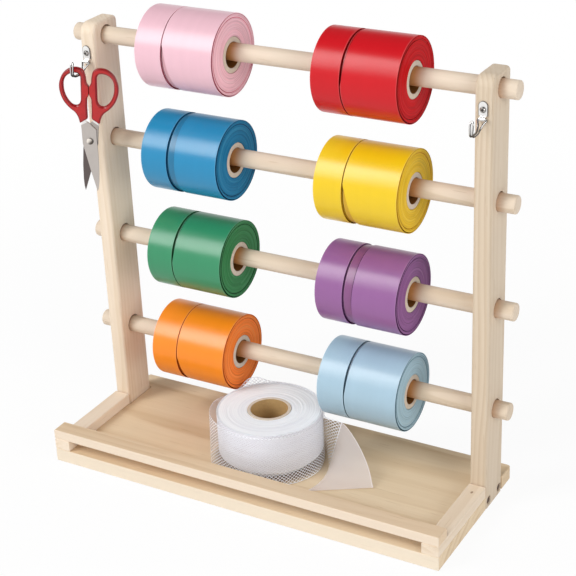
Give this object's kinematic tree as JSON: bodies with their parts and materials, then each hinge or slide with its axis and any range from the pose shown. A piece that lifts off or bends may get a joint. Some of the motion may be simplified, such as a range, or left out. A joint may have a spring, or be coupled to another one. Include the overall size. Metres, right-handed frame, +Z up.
{
  "type": "ribbon storage rack",
  "caption": "Pine tabletop rack that holds ribbon rolls on dowels between two uprights, with a tray base and a hook on each upright.",
  "frame": {"origin": "middle of the base's underside, on the table", "axes": "+X to the right along the dowels, +Y to the back, +Z up"},
  "size_m": [0.434, 0.16, 0.4237],
  "materials": {
    "pine": "bare sanded pine, matt",
    "dowel_wood": "bare turned wood, matt",
    "bronze_screw": "brown bronzed, half gloss",
    "nickel": "bright plated",
    "blade_steel": "ground",
    "red_plastic": "half gloss",
    "cardboard": "pale cardboard, matt",
    "mesh_ribbon": "sheer white mesh",
    "satin_pink": "satin, soft lengthwise sheen",
    "satin_red": "satin, soft lengthwise sheen",
    "satin_blue": "satin, soft lengthwise sheen",
    "satin_yellow": "satin, soft lengthwise sheen",
    "satin_green": "satin, soft lengthwise sheen",
    "satin_purple": "satin, soft lengthwise sheen",
    "satin_orange": "satin, soft lengthwise sheen",
    "satin_pale_blue": "satin, soft lengthwise sheen"
  },
  "bodies": {
    "rack": {"base_board": "pine", "side_rail_left": "pine", "side_rail_right": "pine", "front_strip": "pine", "upright_left": "pine", "upright_right": "pine", "foot_screw_left_front": "bronze_screw", "foot_screw_left_rear": "bronze_screw", "foot_screw_right_front": "bronze_screw", "foot_screw_right_rear": "bronze_screw", "hook_plate_left": "nickel", "hook_wire_left": "nickel", "hook_screw_left": "nickel", "hook_plate_right": "nickel", "hook_wire_right": "nickel", "hook_screw_right": "nickel", "mesh_ribbon_tail": "mesh_ribbon"},
    "dowel_body_1": {"dowel_1": "dowel_wood"},
    "dowel_body_2": {"dowel_2": "dowel_wood"},
    "dowel_body_3": {"dowel_3": "dowel_wood"},
    "dowel_body_4": {"dowel_4": "dowel_wood"},
    "pink_narrow_roll": {"core_pink_narrow": "cardboard", "ribbon_pink_narrow": "satin_pink"},
    "pink_wide_roll": {"core_pink_wide": "cardboard", "ribbon_pink_wide": "satin_pink"},
    "red_narrow_roll": {"core_red_narrow": "cardboard", "ribbon_red_narrow": "satin_red"},
    "red_wide_roll": {"core_red_wide": "cardboard", "ribbon_red_wide": "satin_red"},
    "blue_narrow_roll": {"core_blue_narrow": "cardboard", "ribbon_blue_narrow": "satin_blue"},
    "blue_wide_roll": {"core_blue_wide": "cardboard", "ribbon_blue_wide": "satin_blue"},
    "yellow_narrow_roll": {"core_yellow_narrow": "cardboard", "ribbon_yellow_narrow": "satin_yellow"},
    "yellow_wide_roll": {"core_yellow_wide": "cardboard", "ribbon_yellow_wide": "satin_yellow"},
    "green_narrow_roll": {"core_green_narrow": "cardboard", "ribbon_green_narrow": "satin_green"},
    "green_wide_roll": {"core_green_wide": "cardboard", "ribbon_green_wide": "satin_green"},
    "purple_narrow_roll": {"core_purple_narrow": "cardboard", "ribbon_purple_narrow": "satin_purple"},
    "purple_wide_roll": {"core_purple_wide": "cardboard", "ribbon_purple_wide": "satin_purple"},
    "orange_narrow_roll": {"core_orange_narrow": "cardboard", "ribbon_orange_narrow": "satin_orange"},
    "orange_wide_roll": {"core_orange_wide": "cardboard", "ribbon_orange_wide": "satin_orange"},
    "pale_blue_narrow_roll": {"core_pale_blue_narrow": "cardboard", "ribbon_pale_blue_narrow": "satin_pale_blue"},
    "pale_blue_wide_roll": {"core_pale_blue_wide": "cardboard", "ribbon_pale_blue_wide": "satin_pale_blue"},
    "mesh_roll": {"mesh_roll_core": "cardboard", "mesh_roll_winding": "mesh_ribbon"},
    "scissors_hung_half": {"scissor_handle_left": "red_plastic", "scissor_blade_front": "blade_steel", "scissor_pivot": "nickel"},
    "scissors_free_half": {"scissor_handle_right": "red_plastic", "scissor_blade_rear": "blade_steel"}
  },
  "joints": [
    {"name": "dowel_1_slide", "type": "slide", "parent": "rack", "child": "dowel_body_1", "axis": [1, 0, 0], "range_m": [-0.0155, 0.0155]},
    {"name": "dowel_2_slide", "type": "slide", "parent": "rack", "child": "dowel_body_2", "axis": [1, 0, 0], "range_m": [-0.016, 0.015]},
    {"name": "dowel_3_slide", "type": "slide", "parent": "rack", "child": "dowel_body_3", "axis": [1, 0, 0], "range_m": [-0.017, 0.014]},
    {"name": "dowel_4_slide", "type": "slide", "parent": "rack", "child": "dowel_body_4", "axis": [1, 0, 0], "range_m": [-0.002, 0.002]},
    {"name": "pink_narrow_roll_spin", "type": "hinge", "parent": "dowel_body_1", "child": "pink_narrow_roll", "pos_m": [-0.1147, 0.0395, 0.3868], "axis": [1, 0, 0], "continuous": true},
    {"name": "pink_wide_roll_spin", "type": "hinge", "parent": "dowel_body_1", "child": "pink_wide_roll", "pos_m": [-0.0753, 0.0395, 0.3868], "axis": [1, 0, 0], "continuous": true},
    {"name": "red_narrow_roll_spin", "type": "hinge", "parent": "dowel_body_1", "child": "red_narrow_roll", "pos_m": [0.0595, 0.0395, 0.3868], "axis": [1, 0, 0], "continuous": true},
    {"name": "red_wide_roll_spin", "type": "hinge", "parent": "dowel_body_1", "child": "red_wide_roll", "pos_m": [0.0989, 0.0395, 0.3868], "axis": [1, 0, 0], "continuous": true},
    {"name": "blue_narrow_roll_spin", "type": "hinge", "parent": "dowel_body_2", "child": "blue_narrow_roll", "pos_m": [-0.1174, 0.0395, 0.28863], "axis": [1, 0, 0], "continuous": true},
    {"name": "blue_wide_roll_spin", "type": "hinge", "parent": "dowel_body_2", "child": "blue_wide_roll", "pos_m": [-0.078, 0.0395, 0.28863], "axis": [1, 0, 0], "continuous": true},
    {"name": "yellow_narrow_roll_spin", "type": "hinge", "parent": "dowel_body_2", "child": "yellow_narrow_roll", "pos_m": [0.0585, 0.0395, 0.28863], "axis": [1, 0, 0], "continuous": true},
    {"name": "yellow_wide_roll_spin", "type": "hinge", "parent": "dowel_body_2", "child": "yellow_wide_roll", "pos_m": [0.0979, 0.0395, 0.28863], "axis": [1, 0, 0], "continuous": true},
    {"name": "green_narrow_roll_spin", "type": "hinge", "parent": "dowel_body_3", "child": "green_narrow_roll", "pos_m": [-0.1201, 0.0395, 0.19047], "axis": [1, 0, 0], "continuous": true},
    {"name": "green_wide_roll_spin", "type": "hinge", "parent": "dowel_body_3", "child": "green_wide_roll", "pos_m": [-0.0807, 0.0395, 0.19047], "axis": [1, 0, 0], "continuous": true},
    {"name": "purple_narrow_roll_spin", "type": "hinge", "parent": "dowel_body_3", "child": "purple_narrow_roll", "pos_m": [0.0565, 0.0395, 0.19047], "axis": [1, 0, 0], "continuous": true},
    {"name": "purple_wide_roll_spin", "type": "hinge", "parent": "dowel_body_3", "child": "purple_wide_roll", "pos_m": [0.0959, 0.0395, 0.19047], "axis": [1, 0, 0], "continuous": true},
    {"name": "orange_narrow_roll_spin", "type": "hinge", "parent": "dowel_body_4", "child": "orange_narrow_roll", "pos_m": [-0.1235, 0.0395, 0.0923], "axis": [1, 0, 0], "continuous": true},
    {"name": "orange_wide_roll_spin", "type": "hinge", "parent": "dowel_body_4", "child": "orange_wide_roll", "pos_m": [-0.0841, 0.0395, 0.0923], "axis": [1, 0, 0], "continuous": true},
    {"name": "pale_blue_narrow_roll_spin", "type": "hinge", "parent": "dowel_body_4", "child": "pale_blue_narrow_roll", "pos_m": [0.055, 0.0395, 0.0923], "axis": [1, 0, 0], "continuous": true},
    {"name": "pale_blue_wide_roll_spin", "type": "hinge", "parent": "dowel_body_4", "child": "pale_blue_wide_roll", "pos_m": [0.0944, 0.0395, 0.0923], "axis": [1, 0, 0], "continuous": true},
    {"name": "mesh_roll_spin", "type": "hinge", "parent": "rack", "child": "mesh_roll", "pos_m": [-0.0085, 0.001, 0.0138], "axis": [0, 0, 1], "continuous": true},
    {"name": "scissors_swing", "type": "hinge", "parent": "rack", "child": "scissors_hung_half", "pos_m": [-0.1936, 0.003, 0.3662], "axis": [-0.9135, -0.4067, 0], "range_deg": [-4, 60]},
    {"name": "scissors_open", "type": "hinge", "parent": "scissors_hung_half", "child": "scissors_free_half", "pos_m": [-0.18778, 0.00559, 0.29889], "axis": [-0.4067, 0.9135, 0], "range_deg": [0, 32]}
  ]
}
